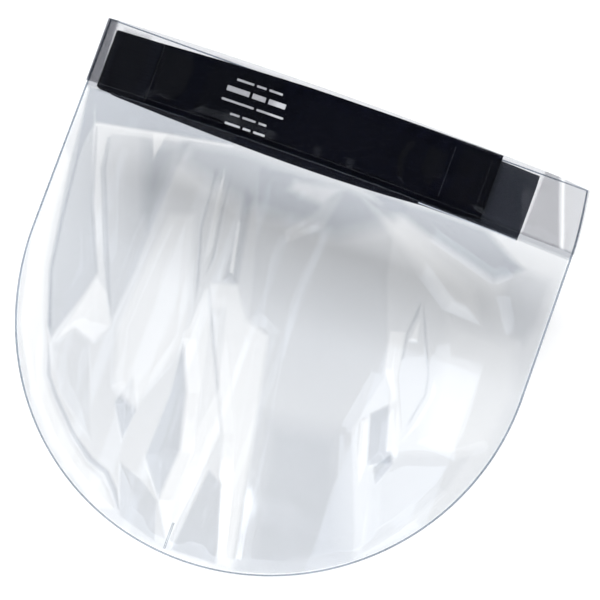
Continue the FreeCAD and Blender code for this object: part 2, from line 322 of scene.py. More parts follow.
def webbing_material(name, dark, light):
    """Woven elastic: ribs along the strap crossed by fine rows, read from the strap's own length and height."""
    material, nodes, links, shader = principled(name, light, 0.85, Specular_IOR_Level=0.1, Sheen_Weight=0.08)
    place = nodes.new("ShaderNodeUVMap")
    place.uv_map = "along"
    rows = nodes.new("ShaderNodeTexWave")
    rows.wave_type, rows.bands_direction = "BANDS", "X"
    rows.inputs["Scale"].default_value = 0.32
    rows.inputs["Distortion"].default_value = 0.6
    ribs = nodes.new("ShaderNodeTexWave")
    ribs.wave_type, ribs.bands_direction = "BANDS", "Y"
    ribs.inputs["Scale"].default_value = 0.155
    weave = nodes.new("ShaderNodeMath")
    weave.operation = "MULTIPLY"
    for node in (rows, ribs):
        links.new(place.outputs["UV"], node.inputs["Vector"])
    links.new(rows.outputs["Fac"], weave.inputs[0])
    links.new(ribs.outputs["Fac"], weave.inputs[1])
    fuzz = texture(nodes, links, "ShaderNodeTexNoise", 700, Detail=3.0)
    mixed = nodes.new("ShaderNodeMath")
    mixed.operation = "MULTIPLY_ADD"
    links.new(fuzz.outputs["Fac"], mixed.inputs[0])
    mixed.inputs[1].default_value = 0.45
    links.new(weave.outputs[0], mixed.inputs[2])
    tone(nodes, links, shader, mixed.outputs[0], dark, light, 0.15, 1.0)
    links.new(bump(nodes, links, mixed.outputs[0], 0.12 * MM), shader.inputs["Normal"])
    return material


def fuzzy_material(name, dark, light, scale):
    """Loop or hook fabric: a dense irregular nap."""
    material, nodes, links, shader = principled(name, light, 0.95, Specular_IOR_Level=0.08, Sheen_Weight=0.1)
    nap = texture(nodes, links, "ShaderNodeTexNoise", scale, Detail=4.0, Roughness=0.7)
    tufts = texture(nodes, links, "ShaderNodeTexVoronoi", scale * 0.8)
    tone(nodes, links, shader, nap.outputs["Fac"], dark, light, 0.3, 0.7)
    first = bump(nodes, links, tufts.outputs["Distance"], 0.4 * MM)
    links.new(bump(nodes, links, nap.outputs["Fac"], 0.4 * MM, normal=first), shader.inputs["Normal"])
    return material


def plain_material(name, dark, light, roughness, scale, depth, shine=0.5):
    """A fine-grained solid colour with slight unevenness."""
    material, nodes, links, shader = principled(name, light, roughness, Specular_IOR_Level=shine)
    grain = texture(nodes, links, "ShaderNodeTexNoise", scale, Detail=4.0)
    tone(nodes, links, shader, grain.outputs["Fac"], dark, light, 0.3, 0.7)
    links.new(bump(nodes, links, grain.outputs["Fac"], depth), shader.inputs["Normal"])
    return material


# Where a clear material gives a second colour, that is its tint under the darkest painted shade, and a number after it
# is its painted sheen there.
VISOR_CLEAR = clear_plastic("visor_clear", (0.985, 0.989, 0.992), 0.0005, 0.03, (0.7, 0.71, 0.73))
# The cut edge's material: its own frosting, and a painted grey outline for how the edge looks in the light.
VISOR_EDGE = clear_plastic("visor_edge", (0.5, 0.54, 0.58), 0.16, 0.25)
COVER_CLEAR = clear_plastic("cover_clear", (0.985, 0.985, 0.99), 0.0003, 0.05, (0.42, 0.42, 0.44), 0.008,
                            mirror=0.012)
COVER_EDGE = clear_plastic("cover_edge", (0.94, 0.945, 0.95), 0.004, 0.1, mirror=0.012)
FILM_CLEAR = clear_plastic("film_clear", (1.0, 1.0, 1.0), 0.001, 0.045, (0.76, 0.775, 0.8), 0.006)
FILM_EDGE = clear_plastic("film_edge", (0.8, 0.83, 0.85), 0.2, 0.25)
# A hazy white that paints a highlight along the film's upper edge.
PAINTED_FILM_RIM_HIGHLIGHT = clear_plastic("painted_film_rim_highlight", (0.93, 0.94, 0.95), 0.3, 0.3)
FOAM = foam_material()
WEBBING = webbing_material("webbing", (0.004, 0.0048, 0.009), (0.009, 0.0105, 0.017))
LOOP_FABRIC = fuzzy_material("loop_fabric", (0.026, 0.029, 0.038), (0.062, 0.068, 0.086), 1500)
HOOK_FABRIC = plain_material("hook_fabric", (0.02, 0.022, 0.028), (0.045, 0.048, 0.058), 0.5, 1800, 0.1 * MM)
TAPE = plain_material("tape", (0.0015, 0.002, 0.005), (0.005, 0.006, 0.012), 0.9, 900, 0.15 * MM, shine=0.05)
THREAD = plain_material("thread", (0.014, 0.016, 0.022), (0.035, 0.038, 0.048), 0.6, 5000, 0.06 * MM)
INK = plain_material("ink", (0.72, 0.73, 0.74), (0.86, 0.87, 0.88), 0.45, 1500, 0.01 * MM)


# ---- the clear sheets ----
VISOR_COLUMNS, FILM_COLUMNS = 161, 331  # points across each sheet; the film's facets need more


def u_rows(top, top_half, half, straight, rounded):
    """(height, half-width) rows of the visor's outline, from the top to just short of the bottom's lowest point."""
    rows = []
    for number in range(straight):
        share = number / straight
        rows.append((top + (ROUND_CENTRE_Z - top) * share, top_half + (half - top_half) * share))
    for number in range(rounded):
        angle = math.pi / 2 * (number / rounded)
        rows.append((ROUND_CENTRE_Z - half * math.sin(angle), half * math.cos(angle)))
    last = math.pi / 2 * (1 - 0.15 / rounded)
    rows.append((ROUND_CENTRE_Z - half * math.sin(last), half * math.cos(last)))
    return rows


def u_sheet(rows, columns, radius, thickness, lift):
    """A closed bent sheet with the visor's outline; lift(across, height) is how far it stands off its cylinder."""
    fronts, backs = {}, {}
    for row, (height, half) in enumerate(rows):
        for column in range(columns):
            across = half * (1 - 2 * column / (columns - 1))
            off = radius + lift(across, height)
            fronts[row, column] = on_bend(across, height, off + thickness)
            backs[row, column] = on_bend(across, height, off)
    return sheet_solid(
        len(rows), columns, lambda row, column: fronts[row, column], lambda row, column: backs[row, column]
    )


def edge_bead(rows, width, radius, thickness):
    """A closed narrow strip all round a U-shaped sheet: the cut edge, frosted and painted as the grey outline that it
    shows in the light.
    """
    right = [Vector((half, height)) for height, half in rows]
    outline = right + [Vector((-place.x, place.y)) for place in reversed(right)]
    count = len(outline)
    sections = []
    for number, place in enumerate(outline):
        ahead = outline[(number + 1) % count] - outline[number - 1]
        inward = Vector((ahead.y, -ahead.x)).normalized()
        if number in (0, count - 1):
            inward = Vector((-1 if number == 0 else 1, -1))
        inner = place + inward * width
        sections.append([(place, 0), (place, thickness), (inner, thickness), (inner, 0)])
    points = [on_bend(place.x, place.y, radius + depth) for section in sections for place, depth in section]
    faces = []
    for number in range(count):
        here, there = number * 4, (number + 1) % count * 4
        for corner in range(4):
            after = (corner + 1) % 4
            faces.append((here + corner, there + corner, there + after, here + after))
    return points, faces


def join(points, faces, slots, more_points, more_faces, slot):
    """Adds one closed surface's points and faces to another's."""
    start = len(points)
    points += more_points
    faces += [tuple(start + index for index in face) for face in more_faces]
    slots += [slot] * len(more_faces)


def bar(left, right, low, high, near, far):
    """Points and faces of a flat bar that follows the visor's bend, from near to far outside its front."""
    columns = max(2, round((right - left) / MM) + 1)

    def point(row, column, depth):
        across = right + (left - right) * column / (columns - 1)
        return on_bend(across, high if row == 0 else low, BEND_RADIUS + depth)

    return sheet_solid(
        2, columns, lambda row, column: point(row, column, far), lambda row, column: point(row, column, near)
    )[:2]


def make_visor():
    """The clear sheet with its cut edge, which stands a hair proud of both faces."""
    rows = u_rows(VISOR_HIGH.z, TOP_HALF_WIDTH, VISOR_HIGH.x, straight=60, rounded=90)
    inner, proud = BEND_RADIUS - VISOR_THICKNESS, 0.02 * MM
    points, faces, slots = u_sheet(rows, VISOR_COLUMNS, inner, VISOR_THICKNESS, lambda across, height: 0.0)
    bead = edge_bead(rows, EDGE_WIDTH, inner - proud, VISOR_THICKNESS + 2 * proud)
    join(points, faces, slots, *bead, 1)
    piece = new_piece("visor_sheet", points, faces, "shield", [VISOR_CLEAR, VISOR_EDGE], slots)
    # The bare line between the cover strip and the film is painted a grey shade, like the painted shade on the film
    # and strip beside it.
    low, high = FILM_HIGH.z - 0.5 * MM, COVER_LOW.z + 0.5 * MM
    layer = piece.data.attributes.new("painted_shading", "FLOAT", "POINT")
    for point, value in zip(piece.data.vertices, layer.data):
        value.value = 1.0 if low < point.co.z < high else 0.0
    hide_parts("visor")


# Facets of the wrinkled film. Each row is how grey the facet looks (1 is darkest, below 0 is
# brighter than the flat film), how far it stands off, how wide its seam is, and its corners (across, height), all
# in millimetres.
# The greys are painted light and shade: darker rows paint shade, such as a deeper shadow of the band under the pad,
# and rows below 0 paint highlights where creases would catch the light.
FILM_FACETS_AND_PAINTED_SHADE = (
    (1.0, 0.2, 1.2, ((-124, -18), (-117, -36), (-84, -31), (-45, -24.5), (-45, -18))),
    (-0.5, 0.3, 0.8, ((-117, -36), (-84, -31), (-45, -24.5), (-45, -26), (-84, -32.5), (-117, -37.5))),
    (0.8, 0.2, 10.0, ((-74, -26), (-45, -20), (0, -19), (46, -19), (47, -36), (20, -54), (-30, -56), (-70, -44))),
    (0.8, 0.2, 2.5, ((-128, -19), (-110, -19), (-113, -26), (-118, -42), (-120, -60), (-124, -40))),
    (0.55, 0.6, 1.2, ((-127, -19), (-117, -37), (-104.5, -73), (-96, -91), (-88, -107), (-91, -119), (-100, -146),
                      (-104, -140), (-113, -113), (-117.5, -86), (-121, -55))),
    (0.6, 0.3, 1.4, ((-128, -19), (-121, -19), (-118.5, -55), (-115, -86), (-111, -113), (-101, -140), (-98, -147),
                     (-104.5, -140), (-114.5, -113), (-119, -86), (-124, -55))),
    (0.5, 0.3, 0.8, ((-117, -37), (-115, -37), (-103, -73), (-95, -91), (-87.5, -107), (-89.5, -107), (-97.5, -91),
                     (-106, -73))),
    (0.3, 0.5, 1.2, ((-108, -38), (-66, -30), (-68, -45), (-69.5, -77), (-70, -99), (-73, -128), (-80, -114),
                     (-87, -98), (-105, -56))),
    (0.5, 0.2, 9.0, ((-94, -34), (-64, -28), (-67, -45), (-69, -84), (-80, -72))),
    (0.5, 0.3, 0.8, ((-109, -40), (-106.5, -40), (-103, -56), (-85, -98), (-72, -129), (-79, -118), (-89, -98),
                     (-106.5, -57))),
    (-1.0, 0.6, 0.8, ((-87, -31), (-79, -29.5), (-81, -45))),
    (-1.0, 0.8, 1.2, ((-88, -108), (-80, -114), (-72, -129), (-78, -140), (-90, -136), (-98, -147), (-91, -120))),
    (0.15, 0.4, 1.2, ((-98, -148), (-90, -137), (-80, -140), (-72, -160), (-62, -186), (-86, -169))),
    (0.6, 0.3, 0.8, ((-101, -147), (-99, -149), (-93, -162), (-86, -170), (-70, -185.5), (-58, -193),
                     (-48, -196.5), (-41, -203.5), (-36, -213), (-37.5, -213.5), (-44, -205), (-50, -199),
                     (-60, -196), (-72, -187), (-88, -172), (-95.5, -163))),
    (-1.0, 0.3, 2.0, ((-130, -50), (-123, -56), (-120, -86), (-115, -113), (-105, -140), (-101, -149), (-96, -163),
                      (-88.5, -172.5), (-72.5, -188), (-60.5, -197), (-50.5, -201), (-45, -206), (-38, -214),
                      (-48, -217), (-82, -195), (-101, -174), (-120, -142), (-130, -100))),
    (-0.8, 0.5, 4.0, ((-66, -66), (-50, -60), (-40, -96), (-32, -122), (-46, -166), (-62, -158), (-71, -128))),
    (0.5, 0.4, 0.8, ((-50, -36), (-48, -40), (-45.5, -68), (-37.5, -94), (-36, -106), (-40, -94), (-47.5, -68))),
    (-0.8, 0.6, 0.8, ((-46, -34), (-44, -40), (-41, -56), (-37.5, -76), (-39, -88), (-40.5, -77), (-44, -56))),
    (0.45, 0.4, 0.8, ((-42, -32), (-40.5, -40), (-38, -60), (-34.5, -80), (-36, -92), (-37.3, -76), (-40.5, -56))),
    (0.45, 0.4, 2.5, ((-33, -40), (-26, -46), (-18, -90), (-28, -90))),
    (-1.6, 0.9, 0.6, ((-31, -56), (-28.5, -60), (-23, -85), (-25.7, -84))),
    (-1.0, 0.6, 2.0, ((-34, -92), (-19, -88), (-9, -103), (4, -107), (13, -152), (26, -222), (18, -222), (-2, -160))),
    (-1.0, 0.7, 1.2, ((-34, -92), (-2, -160), (-8, -222), (-20, -202), (-18, -175), (-25, -147), (-36, -122))),
    (0.5, 0.4, 1.2, ((-28, -104), (-20, -100), (-10, -140), (-14, -172), (-20, -140))),
    (0.6, 0.8, 1.2, ((-36, -122), (-25, -147), (-18, -175), (-20, -202), (-34, -184), (-33, -150))),
    (0.6, 0.7, 1.2, ((-53, -147), (-45, -164), (-47, -181), (-58, -164))),
    (0.4, 0.5, 1.2, ((-45, -190), (-31, -195), (-20, -202), (-14, -222), (-36, -216))),
    (0.5, 0.5, 1.2, ((-2, -178), (8, -184), (18, -222), (-6, -223))),
    (-0.8, 0.5, 0.8, ((6, -130), (10, -140), (22, -216), (18, -216))),
    (0.16, 0.4, 1.2, ((4, -108), (-9, -102), (-20, -62), (-30, -30), (14, -25), (42, -27), (49, -61), (57, -82),
                      (64, -107), (58, -137), (67, -160), (76, -183), (80, -198), (52, -216), (27, -222), (13, -152))),
    (0.35, 0.2, 16.0, ((8, -140), (58, -132), (86, -200), (52, -224), (24, -230))),
    (-1.0, 0.9, 1.0, ((58, -84), (66, -82), (70, -105), (80, -128), (83, -142), (76, -141), (68, -112), (62, -104))),
    (0.5, 0.4, 0.8, ((67.5, -62), (69.2, -72), (67.6, -82), (69.6, -96), (68, -96), (65.9, -82))),
    (-1.2, 0.6, 0.8, ((70, -71), (73, -85), (68.5, -86))),
    (0.5, 0.4, 0.8, ((67.5, -62), (74, -75), (84, -98), (86, -108), (83.5, -122), (81, -131), (81.8, -122),
                     (84.4, -108), (82.4, -98), (72.4, -76))),
    (-0.8, 0.6, 0.8, ((86, -98), (90, -105), (87.5, -123), (81, -137), (84.5, -124), (87.5, -109))),
    (0.55, 0.6, 1.0, ((63, -126), (74, -114), (81, -146), (70, -151))),
    (-1.2, 0.7, 0.8, ((60, -131), (63, -128), (70, -150), (70, -162), (64, -148))),
    (0.45, 0.6, 0.8, ((73, -150), (80, -140), (82, -146), (77, -159))),
    (0.15, 0.4, 3.0, ((72, -152), (84, -138), (118, -126), (112, -150), (96, -176), (82, -194))),
    (-0.6, 0.5, 8.0, ((80, -66), (120, -66), (130, -92), (126, -122), (110, -134), (88, -132))),
    (-0.7, 0.4, 5.0, ((17, -25), (58, -35), (92, -49), (102, -68), (80, -66), (50, -46))),
    (0.9, 0.4, 4.0, ((18, -23), (60, -19), (86, -19), (112, -32), (98, -45), (58, -35))),
    (0.35, 0.4, 6.0, ((96, -30), (127, -30), (128, -56), (124, -70), (113, -68), (101, -50))),
    (-0.6, 0.4, 4.0, ((16, -25), (6, -26), (-12, -29), (-14, -38), (8, -40))),
    (-0.3, 0.3, 2.0, ((16, -25), (12, -48), (-4, -62), (-8, -56))),
)
FACET_SLOPE = 7 * MM  # how far inside its outline a facet reaches its full height


def facet_depth(corners, across, height):
    """How far a place lies inside a facet, in metres; 0 outside it."""
    inside, nearest = False, math.inf
    for number, (x, z) in enumerate(corners):
        last_x, last_z = corners[number - 1]
        if (z > height) != (last_z > height) and across < (last_x - x) * (height - z) / (last_z - z) + x:
            inside = not inside
        run, rise = x - last_x, z - last_z
        share = clamp(((across - last_x) * run + (height - last_z) * rise) / (run * run + rise * rise))
        nearest = min(nearest, math.hypot(across - last_x - run * share, height - last_z - rise * share))
    return nearest if inside else 0.0


def in_metres(facets):
    """The facets with their corners in metres and their boxes, which tell early that a place is outside."""
    ready = []
    for tint, tall, seam, corners in facets:
        placed = [(x * MM, z * MM) for x, z in corners]
        across, heights = zip(*placed)
        box = (min(across), max(across), min(heights), max(heights))
        ready.append((tint, tall * MM, seam * MM, placed, box))
    return ready


def crease_and_painted_shade(facets, across, height):
    """How far the film stands off at a place, and how grey its painted light and shade make it there, from 0 to 1."""
    lift, grey = 0.0, 0.0
    for tint, tall, seam, corners, (left, right, low, high) in facets:
        if left < across < right and low < height < high:
            depth = facet_depth(corners, across, height)
            lift += tall * clamp(depth / FACET_SLOPE)
            grey += tint * clamp(depth / seam)
    return lift, clamp(PLAIN_GREY + (1 - PLAIN_GREY if grey > 0 else PLAIN_GREY) * grey)


def paint_light_and_shade(piece, facets):
    """Stores how grey the painted light and shade make each point of a film, for its material."""
    layer = piece.data.attributes.new("painted_shading", "FLOAT", "POINT")
    for point, value in zip(piece.data.vertices, layer.data):
        slant = math.atan2(point.co.x, BEND_AXIS_Y - point.co.y)
        value.value = crease_and_painted_shade(facets, BEND_RADIUS * math.sin(slant), point.co.z)[1]


def film_edge_distance(across, height):
    """How far a place is inside the film's side and round edges."""
    if height < ROUND_CENTRE_Z:
        return FILM_HIGH.x - math.hypot(across, height - ROUND_CENTRE_Z)
    return FILM_HIGH.x - abs(across)


FILM_THICKNESS = 0.15 * MM
FILM_GAP = 0.3 * MM  # between the visor and the film's back
SLIT_X, SLIT_HALF, SLIT_TOP = -9 * MM, 0.35 * MM, 15 * MM
# Where the painted highlight along the film's upper edge runs.
BRIGHT_EDGE_FROM, BRIGHT_EDGE_TO = 50 * MM, 101 * MM


def make_film():
    """The protective film with the two lips of its starter slit and a painted highlight along a stretch of its upper
    edge.
    """
    facets = in_metres(FILM_FACETS_AND_PAINTED_SHADE)

    def lift(across, height):
        hold = smooth(0, 6 * MM, film_edge_distance(across, height)) * smooth(0, 8 * MM, FILM_HIGH.z - height)
        soft = (noise.noise(Vector((across, height, 0)) / (38 * MM)) + 0.6) * 0.25 * MM
        return (crease_and_painted_shade(facets, across, height)[0] + max(0.0, soft)) * hold

    inset = VISOR_HIGH.x - FILM_HIGH.x
    rows = u_rows(FILM_HIGH.z, TOP_HALF_WIDTH - inset, FILM_HIGH.x, straight=110, rounded=150)
    points, faces, slots = u_sheet(rows, FILM_COLUMNS, BEND_RADIUS + FILM_GAP, FILM_THICKNESS, lift)
    lip_low, lip_high = FILM_LOW.z + 1.4 * MM, FILM_LOW.z + SLIT_TOP
    for middle in (SLIT_X - SLIT_HALF, SLIT_X + SLIT_HALF):
        lip = bar(middle - 0.2 * MM, middle + 0.2 * MM, lip_low, lip_high, 0.5 * MM, 0.75 * MM)
        join(points, faces, slots, *lip, 1)
    edge_low, edge_high = FILM_HIGH.z - 1.5 * MM, FILM_HIGH.z - 0.9 * MM
    join(points, faces, slots, *bar(BRIGHT_EDGE_FROM, BRIGHT_EDGE_TO, edge_low, edge_high, 0.47 * MM, 0.6 * MM), 2)
    materials = [FILM_CLEAR, FILM_EDGE, PAINTED_FILM_RIM_HIGHLIGHT]
    piece = new_piece("film_sheet", points, faces, "film", materials, slots)
    paint_light_and_shade(piece, facets)
    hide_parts("protective_film")


# Facets of the cover strip, in rows like the film's, with painted light and shade. The first four draw its folds at
# both ends, with painted shade beside them and a painted highlight along the crease at the wearer's left end.
COVER_FOLDS_AND_PAINTED_SHADE = (
    (0.42, 0.3, 1.0, ((102, 18), (109.5, 18), (121.5, -17), (102, -17))),
    (-1.0, 0.6, 1.0, ((110, 18), (112.5, 18), (123.5, -17), (121.5, -17))),
    (0.15, 0.4, 1.0, ((112.5, 18), (132, 18), (132, -17), (123.5, -17))),
    (1.0, 0.5, 1.5, ((-132, 18), (-124, 18), (-122, -17), (-132, -17))),
    (0.25, 0.3, 2.0, ((-121, 15), (-104, 15), (-101, -4), (-104, -17), (-121, -17))),
    (0.4, 0.3, 1.5, ((-96, 12), (-80, 13), (-77, 4), (-78, -8), (-84, -15), (-94, -14), (-98, 2))),
    (0.2, 0.3, 3.0, ((-70, 16), (-30, 16), (-34, -16), (-73, -16))),
    (0.4, 0.3, 1.0, ((35, 7), (40, 9), (36.5, -3), (40, -13), (35, -12), (32.5, -2))),
    (0.3, 0.3, 1.5, ((45, 9), (56, 8), (58, -4), (50, -12), (45, -4))),
    (0.25, 0.2, 3.0, ((60, 16), (84, 16), (84, -15), (60, -15))),
)


COVER_THICKNESS = 0.2 * MM
COVER_GAP = 0.15 * MM  # between the visor and the strip's back
# The tent is a slanted ridge: its place at mid-height, its lean, its height and its slopes to either side.
TENT_X, TENT_LEAN, TENT_HEIGHT = 116 * MM, 0.36, 3.2 * MM
TENT_OUTER, TENT_INNER = 12 * MM, 20 * MM


def make_cover():
    """The clear strip, stuck along its lower edge, wavy between its folds and tented at the wearer's left end."""
    facets = in_metres(COVER_FOLDS_AND_PAINTED_SHADE)
    rows, columns = 48, 361
    low, high, half = COVER_LOW.z, COVER_HIGH.z, COVER_HIGH.x
    middle = (low + high) / 2

    def lift(across, height):
        ends = smooth(0, 6 * MM, half - abs(across))
        stuck = smooth(low, low + 6 * MM, height) * ends
        away = across - (TENT_X - (height - middle) * TENT_LEAN)
        tent = TENT_HEIGHT * clamp(1 - (away / TENT_OUTER if away > 0 else -away / TENT_INNER))
        soft = (noise.noise(Vector((across, height, 9)) / (24 * MM)) + 0.5) * 0.25 * MM
        return tent * ends + (crease_and_painted_shade(facets, across, height)[0] + max(0.0, soft)) * stuck

    fronts, backs = {}, {}
    for row in range(rows):
        height = high + (low - high) * row / (rows - 1)
        for column in range(columns):
            across = half * (1 - 2 * column / (columns - 1))
            off = BEND_RADIUS + COVER_GAP + lift(across, height)
            fronts[row, column] = on_bend(across, height, off + COVER_THICKNESS)
            backs[row, column] = on_bend(across, height, off)
    points, faces, slots = sheet_solid(
        rows, columns, lambda row, column: fronts[row, column], lambda row, column: backs[row, column]
    )
    piece = new_piece("cover_strip", points, faces, "shield", [COVER_CLEAR, COVER_EDGE], slots)
    paint_light_and_shade(piece, facets)
    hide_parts("cover_band")


# ---- the brow pad ----
PAD_END_TOP = 12.3 * MM  # the top at the wearer's right end
PAD_SHOULDER = Vector((-20, 15.3)) * MM  # where the top bends
PAD_END_LOW, PAD_LOW_RISE = -19.5 * MM, 2.5 * MM  # the lower corner at that end, and its rise to the other one
PAD_BOW = 0.98  # how much of the way down to the box the bowed lower edge reaches
PAD_ROUNDING = 2.2 * MM
PAD_DENTS = 0.5 * MM


def pad_outline(across):
    """The pad's lowest and highest place at one place across: a top with a shoulder and a bowed lower edge."""
    share = (across - PAD_LOW.x) / (PAD_HIGH.x - PAD_LOW.x)
    if across < PAD_SHOULDER.x:
        up = (across - PAD_LOW.x) / (PAD_SHOULDER.x - PAD_LOW.x)
        top = PAD_END_TOP + (PAD_SHOULDER.y - PAD_END_TOP) * up
    else:
        up = (across - PAD_SHOULDER.x) / (PAD_HIGH.x - PAD_SHOULDER.x)
        top = PAD_SHOULDER.y + (PAD_HIGH.z - PAD_SHOULDER.y) * up
    low = PAD_END_LOW + PAD_LOW_RISE * share
    return low - (low - PAD_LOW.z) * 4 * share * (1 - share) * PAD_BOW, top


def make_pad():
    """The foam pad: rounded all round its edges and a little uneven on both faces."""
    rows, columns = 40, 180

    def point(row, column, side):
        across = PAD_HIGH.x + (PAD_LOW.x - PAD_HIGH.x) * column / (columns - 1)
        low, top = pad_outline(across)
        height = top + (low - top) * row / (rows - 1)
        near = min(top - height, height - low, PAD_HIGH.x - across, across - PAD_LOW.x)
        inset = PAD_ROUNDING - math.sqrt(max(0.0, PAD_ROUNDING**2 - max(0.0, PAD_ROUNDING - near) ** 2))
        sink = PAD_DENTS * max(0.0, noise.noise(Vector((across, height, side)) / (17 * MM)))
        if side > 0:
            return on_bend(across, height, PAD_FRONT - inset - sink)
        return on_bend(across, height, PAD_BACK + inset + sink * 0.8)

    points, faces, slots = sheet_solid(
        rows, columns, lambda row, column: point(row, column, 1), lambda row, column: point(row, column, -1)
    )
    piece = new_piece("foam_pad", points, faces, "shield", [FOAM, FOAM], slots)
    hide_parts("brow_pad")


# ---- webbing ----
RIB_HEIGHT = 0.07 * MM
SELVEDGE = 0.8 * MM


def webbing_profile(height, thickness, ribs):
    """Half-thickness of the webbing at places over its height: rounded ribs between thin selvedges."""
    count = ribs * 6
    places = []
    for number in range(count + 1):
        share = number / count
        rib = RIB_HEIGHT * abs(math.sin(math.pi * ribs * share))
        edge = min(share, 1 - share) * height
        round_off = math.sqrt(clamp(1 - (1 - clamp(edge / SELVEDGE)) ** 2, 0.05))
        places.append((share, (thickness / 2 - RIB_HEIGHT + rib) * round_off))
    return places


def webbing(name, path, body, material, height=WEBBING_HEIGHT, low=SIDE_LOW.z, ribs=22):
    """Webbing along a path of (x, y) points; its height stays upright and its thickness is across the path."""
    profile = webbing_profile(height, WEBBING_THICKNESS, ribs)
    rows, columns = len(profile), len(path)
    flat = [Vector(place) for place in path]
    normals, run = [], [0.0]
    for number in range(columns):
        ahead = flat[min(number + 1, columns - 1)] - flat[max(number - 1, 0)]
        normals.append(Vector((-ahead.y, ahead.x)).normalized())
        if number:
            run.append(run[-1] + (flat[number] - flat[number - 1]).length)

    def point(row, column, side):
        share, half = profile[row]
        place = flat[column] + normals[column] * half * side
        return Vector((place.x, place.y, low + height * share))

    points, faces, _ = sheet_solid(
        rows, columns, lambda row, column: point(row, column, -1), lambda row, column: point(row, column, 1)
    )
    uvs = [(run[column] / MM, profile[row][0] * height / MM) for row in range(rows) for column in range(columns)]
    return new_piece(name, points, faces, body, [material], [0] * len(faces), uvs=uvs * 2)


def line(start, finish):
    """Places about a millimetre apart from start up to, but not at, finish."""
    start, finish = Vector(start), Vector(finish)
    count = max(1, round((finish - start).length / MM))
    return [start + (finish - start) * (number / count) for number in range(count)]


def turn(centre, radius, first, last, count):
    """Places round an arc, by angles in degrees."""
    places = []
    for number in range(count):
        angle = math.radians(first + (last - first) * number / (count - 1))
        places.append(Vector(centre) + Vector((math.cos(angle), math.sin(angle))) * radius)
    return places


FOLD = HINGES["strap_fold"]
FOLD_RADIUS = 3 * MM
JOIN_Y = FOLD.y - 6 * MM  # where the strap's held end meets its first free length
BEND_REACH = 24 * MM  # a reach to either side of a hinge; the script makes a vector of it but bends no free length


def strap_run(start, finish):
    """Places along the straight lying strap."""
    return line((start, STRAP_Y), (finish, STRAP_Y)) + [Vector((finish, STRAP_Y))]


def make_strap():
    """The whole strap: the part held behind the visor, the fold round the pad's end and the free lengths."""
    pitch = HINGES["strap_curl"].x - FOLD.x
    held_radius = BEND_RADIUS - VISOR_THICKNESS - WEBBING_THICKNESS / 2
    held = []
    reach = ANCHOR_HIGH.x
    while reach > FOLD.x + 4.5 * MM:
        held.append(Vector((reach, BEND_AXIS_Y - math.sqrt(held_radius**2 - reach**2))))
        reach -= MM
    # One place cuts the corner between the stretch along the visor and the stretch straight back.
    held_end = held[-1].y
    held.append(Vector((FOLD.x + 1.0 * MM, held_end + 2.0 * MM)))
    held += line((FOLD.x, held_end + 4.4 * MM), (FOLD.x, JOIN_Y)) + [Vector((FOLD.x, JOIN_Y))]
    anchor = webbing("strap_held", held, "shield", WEBBING)
    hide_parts("strap_anchor")

    cuts = [HINGES[name].x + pitch / 2 for name in ("strap_fold", "strap_curl")]
    fold = line((FOLD.x, JOIN_Y), (FOLD.x, STRAP_Y - FOLD_RADIUS))
    fold += turn((FOLD.x + FOLD_RADIUS, STRAP_Y - FOLD_RADIUS), FOLD_RADIUS, 180, 90, 10)
    side = webbing("strap_near", fold + strap_run(FOLD.x + FOLD_RADIUS + MM, cuts[0]), None, WEBBING)
    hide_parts("strap_side")
    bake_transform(side)
    lengths = (
        ("strap_middle", cuts[0], cuts[1], "strap_side", "strap_back", "strap_curl"),
        ("strap_end", cuts[1], TAIL_HIGH.x, "strap_back", "strap_tail", "strap_tail_curl"),
    )
    for name, start, finish, before, after, hinge in lengths:
        piece = webbing(name, strap_run(start, finish), None, WEBBING)
        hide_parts(after)
        reach = Vector((BEND_REACH, 0, 0))
        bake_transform(piece)


def make_loop_tab():
    """The grey tab behind the pad's end, following the bend."""
    radius = PAD_BACK - 0.2 * MM - WEBBING_THICKNESS / 2
    path, reach, step = [], TAB_LOW.x, 0.9 * MM
    while reach < TAB_HIGH.x:
        path.append(Vector((reach, BEND_AXIS_Y - math.sqrt(radius**2 - reach**2))))
        reach += step
    piece = webbing(
        "loop_tab_fabric", path, "shield", LOOP_FABRIC,
        height=TAB_HIGH.z - TAB_LOW.z, low=TAB_LOW.z, ribs=1,
    )
    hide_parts("loop_tab")


HOOK_LENGTH = 0.75 * MM
HOOK_PITCH, HOOK_MARGIN, HOOK_JITTER = 1.7 * MM, 1.5 * MM, 0.15


def make_hooks():
    """The hook patch: a woven backing with rows of small bent hooks on its front."""
    points, faces, outline = [], [], []
    front = HOOK_LOW.y + HOOK_LENGTH
    rounding, segments = 2.0 * MM, 6
    low, high = HOOK_LOW, HOOK_HIGH
    for corner, (x, z) in enumerate(((high.x, high.z), (low.x, high.z), (low.x, low.z), (high.x, low.z))):
        centre = Vector((x - rounding * (1 if corner in (0, 3) else -1), z - rounding * (1 if corner < 2 else -1)))
        for number in range(segments + 1):
            angle = math.pi / 2 * (corner + number / segments)
            outline.append(centre + Vector((math.cos(angle), math.sin(angle))) * rounding)
    count = len(outline)
    for depth in (front, HOOK_HIGH.y):
        points += [Vector((place.x, depth, place.y)) for place in outline]
    faces.append(tuple(range(count)))
    faces.append(tuple(range(2 * count - 1, count - 1, -1)))
    for number in range(count):
        after = (number + 1) % count
        faces.append((number, number + count, after + count, after))
    chooser = random.Random(7)
    columns = int((high.x - low.x - 2 * HOOK_MARGIN) / HOOK_PITCH)
    rows = int((high.z - low.z - 2 * HOOK_MARGIN) / HOOK_PITCH)
    for row in range(rows + 1):
        for column in range(columns + 1):
            x = low.x + HOOK_MARGIN + column * HOOK_PITCH + chooser.uniform(-HOOK_JITTER, HOOK_JITTER) * MM
            z = low.z + HOOK_MARGIN + row * HOOK_PITCH + chooser.uniform(-HOOK_JITTER, HOOK_JITTER) * MM
            add_hook(points, faces, Vector((x, front + 0.05 * MM, z)), 1 if row % 2 else -1)
    piece = new_piece("hook_fabric", points, faces, "strap_tail", [HOOK_FABRIC])
    piece.data.polygons.foreach_set("use_smooth", [len(face) == 4 for face in faces])
    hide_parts("hook_patch")


